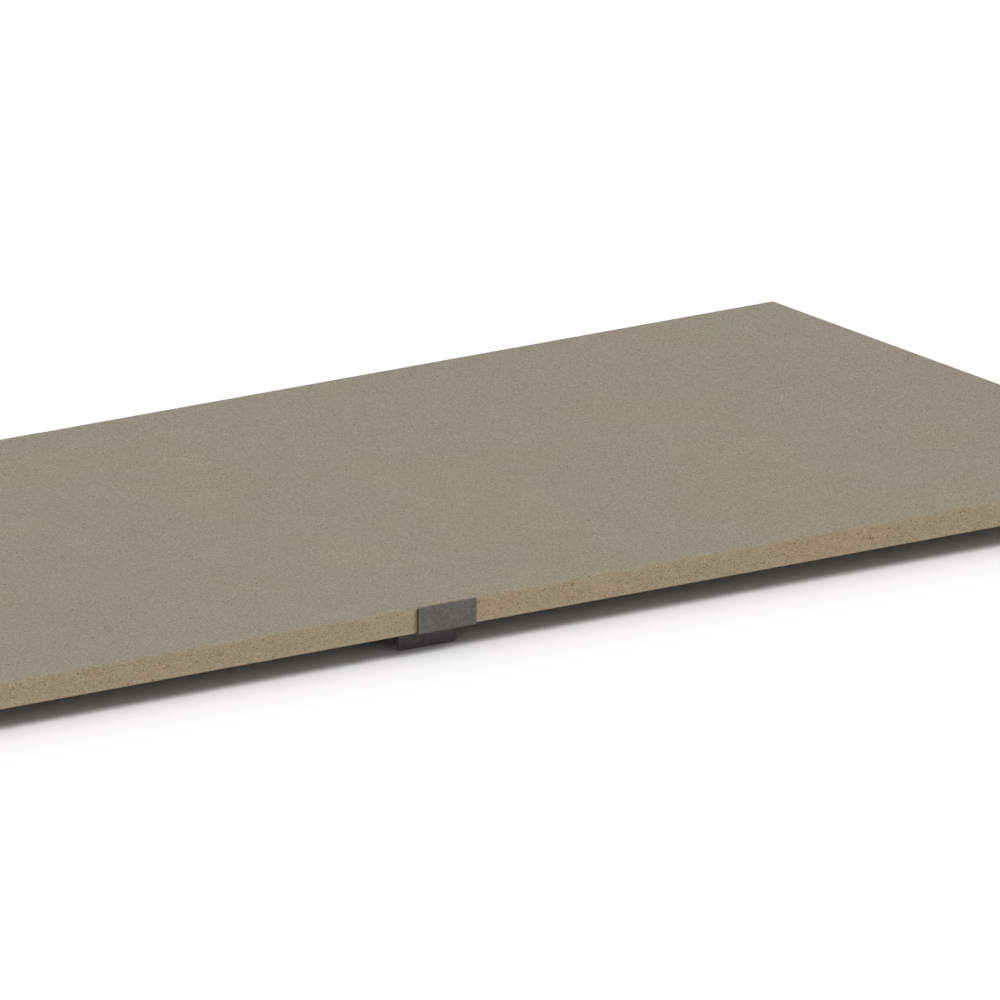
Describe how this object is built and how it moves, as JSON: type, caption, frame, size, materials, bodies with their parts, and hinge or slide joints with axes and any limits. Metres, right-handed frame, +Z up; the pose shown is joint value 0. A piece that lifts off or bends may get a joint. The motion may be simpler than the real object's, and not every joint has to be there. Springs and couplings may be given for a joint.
{
  "type": "pallet rack deck",
  "caption": "Thick chipboard deck panel for one pallet rack bay, with folded steel clips screwed under its long edges that hook over the rack's beams.",
  "frame": {"origin": "under the middle of the deck, level with the lower ends of the clips' legs", "axes": "+X along the deck's length, +Y from its front edge to its rear edge, +Z up through its top face"},
  "size_m": [2.67, 1.1, 0.0755],
  "materials": {
    "chipboard": "raw chipboard, sanded faces and sawn edges",
    "clip_steel": "matt dark grey coat on folded sheet",
    "screw_steel": "bright zinc plated"
  },
  "bodies": {
    "root": {"chipboard_panel": "chipboard", "front_clip": "clip_steel", "rear_clip": "clip_steel", "front_clip_left_screw": "screw_steel", "front_clip_right_screw": "screw_steel", "rear_clip_left_screw": "screw_steel", "rear_clip_right_screw": "screw_steel"}
  },
  "joints": []
}
